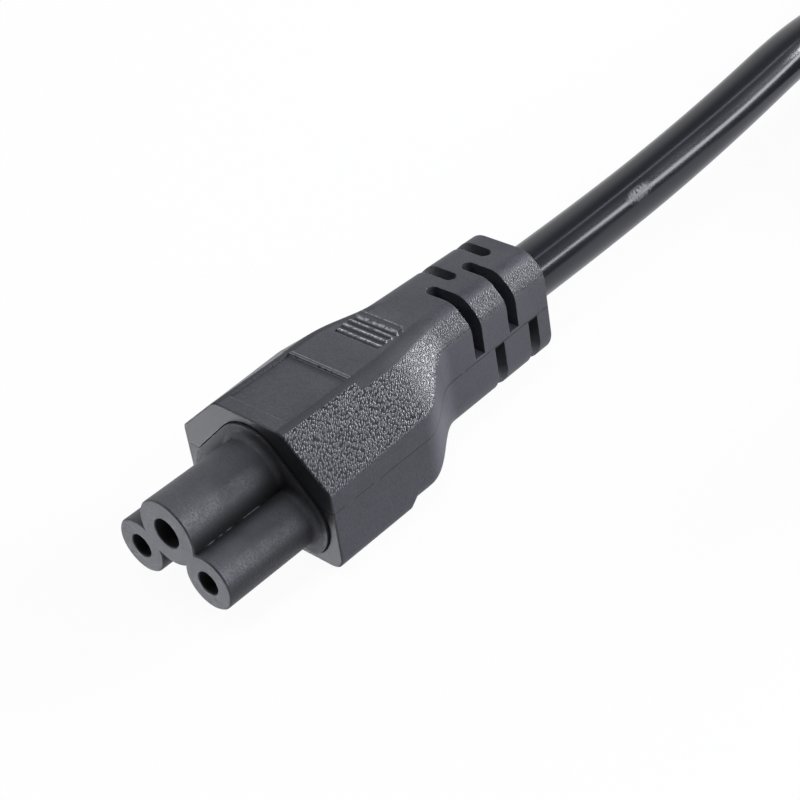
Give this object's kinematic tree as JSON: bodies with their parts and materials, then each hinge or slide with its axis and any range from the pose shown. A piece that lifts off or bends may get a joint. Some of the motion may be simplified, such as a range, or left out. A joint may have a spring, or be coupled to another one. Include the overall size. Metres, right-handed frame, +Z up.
{
  "type": "cloverleaf power cord",
  "caption": "Moulded mains lead: a cloverleaf appliance connector with a slotted strain relief, a round black cord put away in a strapped hank, and a pronged wall plug.",
  "frame": {"origin": "on the surface that the connector lies on, under the middle of the connector from nose tip to strain relief end", "axes": "+Y from the nose towards the cord, +Z up out of the connector's top face, +X to the right seen from behind"},
  "size_m": [0.0739, 0.235, 0.024],
  "materials": {
    "overmould": "satin, with a fine pebbled grain on the slopes",
    "insert": "satin",
    "jacket": "glossy",
    "strap": "woven",
    "contact": "plain",
    "prong": "bright",
    "line_wire": "glossy",
    "neutral_wire": "glossy",
    "earth_wire": "glossy"
  },
  "bodies": {
    "root": {"connector_body": "overmould", "connector_insert": "insert", "line_contact": "contact", "neutral_contact": "contact", "earth_contact": "contact", "line_core": "line_wire", "neutral_core": "neutral_wire", "earth_core": "earth_wire", "cord_lead": "jacket", "cord_hank": "jacket", "hank_ties": "strap", "cord_tail": "jacket", "plug_body": "overmould", "plug_bridge": "insert", "line_blade": "prong", "neutral_blade": "prong", "earth_pin": "prong", "plug_line_core": "line_wire", "plug_neutral_core": "neutral_wire", "plug_earth_core": "earth_wire"}
  },
  "joints": []
}
